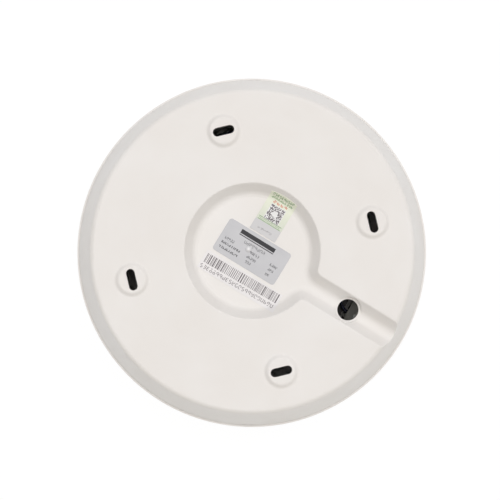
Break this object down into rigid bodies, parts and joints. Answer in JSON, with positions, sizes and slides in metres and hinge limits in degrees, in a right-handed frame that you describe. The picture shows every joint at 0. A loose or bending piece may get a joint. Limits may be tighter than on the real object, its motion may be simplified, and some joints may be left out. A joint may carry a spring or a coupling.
{
  "type": "surface-mount ceiling loudspeaker",
  "caption": "Round white surface-mount ceiling loudspeaker for a 70/100 V line, with a slotted back plate, cable channel, perforated front, cone driver and line transformer.",
  "frame": {"origin": "centre of the plane where the back plate's four pads meet the ceiling, on the axis of the round housing", "axes": "+Z out of the back towards the ceiling, +X from the centre along the cable channel; the front grille faces -Z"},
  "size_m": [0.205, 0.205, 0.066],
  "materials": {
    "white_abs": "warm white ABS, fine spark texture",
    "grille_white": "white powder coat",
    "dust_cloth": "thin black cloth",
    "gasket_foam": "foam",
    "basket_black": "black paint on pressed steel",
    "surround_rubber": "matt",
    "spider_cloth": "resin-stiffened cloth",
    "plated_steel": "zinc plated",
    "spring_steel": "bright",
    "ferrite": "unpainted ferrite",
    "phenolic": "phenolic board",
    "tinned_brass": "tinned",
    "core_steel": "varnished laminations",
    "bobbin_nylon": "black nylon",
    "winding_tape": "yellow polyester tape",
    "terminal_nylon": "natural nylon",
    "lead_red": "PVC",
    "lead_blue": "PVC",
    "lead_white": "PVC",
    "lead_black": "PVC",
    "tinsel_copper": "braided copper",
    "copper_wire": "enamelled copper",
    "cone_paper": "pressed paper pulp",
    "dust_cap_cloth": "doped cloth",
    "former_paper": "kraft paper",
    "silver_label": "silver polyester film",
    "white_label": "white coated paper",
    "green_label": "printed film"
  },
  "bodies": {
    "front": {"front_housing": "white_abs", "grille": "grille_white", "dust_cloth": "dust_cloth", "driver_gasket": "gasket_foam", "driver_basket": "basket_black", "driver_surround": "surround_rubber", "driver_spider": "spider_cloth", "driver_top_plate": "plated_steel", "driver_magnet": "ferrite", "driver_yoke": "plated_steel", "driver_screws": "plated_steel", "driver_tag_strip": "phenolic", "driver_tags": "tinned_brass", "transformer_core": "core_steel", "transformer_bobbin": "bobbin_nylon", "transformer_winding": "winding_tape", "transformer_bracket": "plated_steel", "transformer_screws": "plated_steel", "terminal_block": "terminal_nylon", "terminal_clamps": "tinned_brass", "terminal_clamp_screws": "plated_steel", "terminal_fixing_screws": "plated_steel", "lead_red": "lead_red", "lead_blue": "lead_blue", "lead_white": "lead_white", "driver_lead_1": "lead_black", "driver_lead_2": "lead_red", "tinsel_lead_1": "tinsel_copper", "tinsel_lead_2": "tinsel_copper"},
    "base": {"back_plate": "white_abs", "retaining_spring_1": "spring_steel", "retaining_spring_2": "spring_steel", "retaining_spring_3": "spring_steel", "retaining_spring_4": "spring_steel", "spring_screws": "plated_steel", "rating_label": "silver_label", "serial_label": "white_label", "security_label": "green_label"},
    "cone": {"driver_cone": "cone_paper", "driver_dust_cap": "dust_cap_cloth", "driver_coil_former": "former_paper", "driver_voice_coil": "copper_wire"}
  },
  "joints": [
    {"name": "base_lift", "type": "slide", "parent": "front", "child": "base", "axis": [0, 0, 1], "range_m": [0, 0.06], "deforming": ["retaining_spring_1", "retaining_spring_2", "retaining_spring_3", "retaining_spring_4"]},
    {"name": "cone_stroke", "type": "slide", "parent": "front", "child": "cone", "axis": [0, 0, 1], "range_m": [-0.0015, 0.0015], "stiffness_N_per_m": 2000, "deforming": ["driver_surround", "driver_spider", "tinsel_lead_1", "tinsel_lead_2"]}
  ]
}
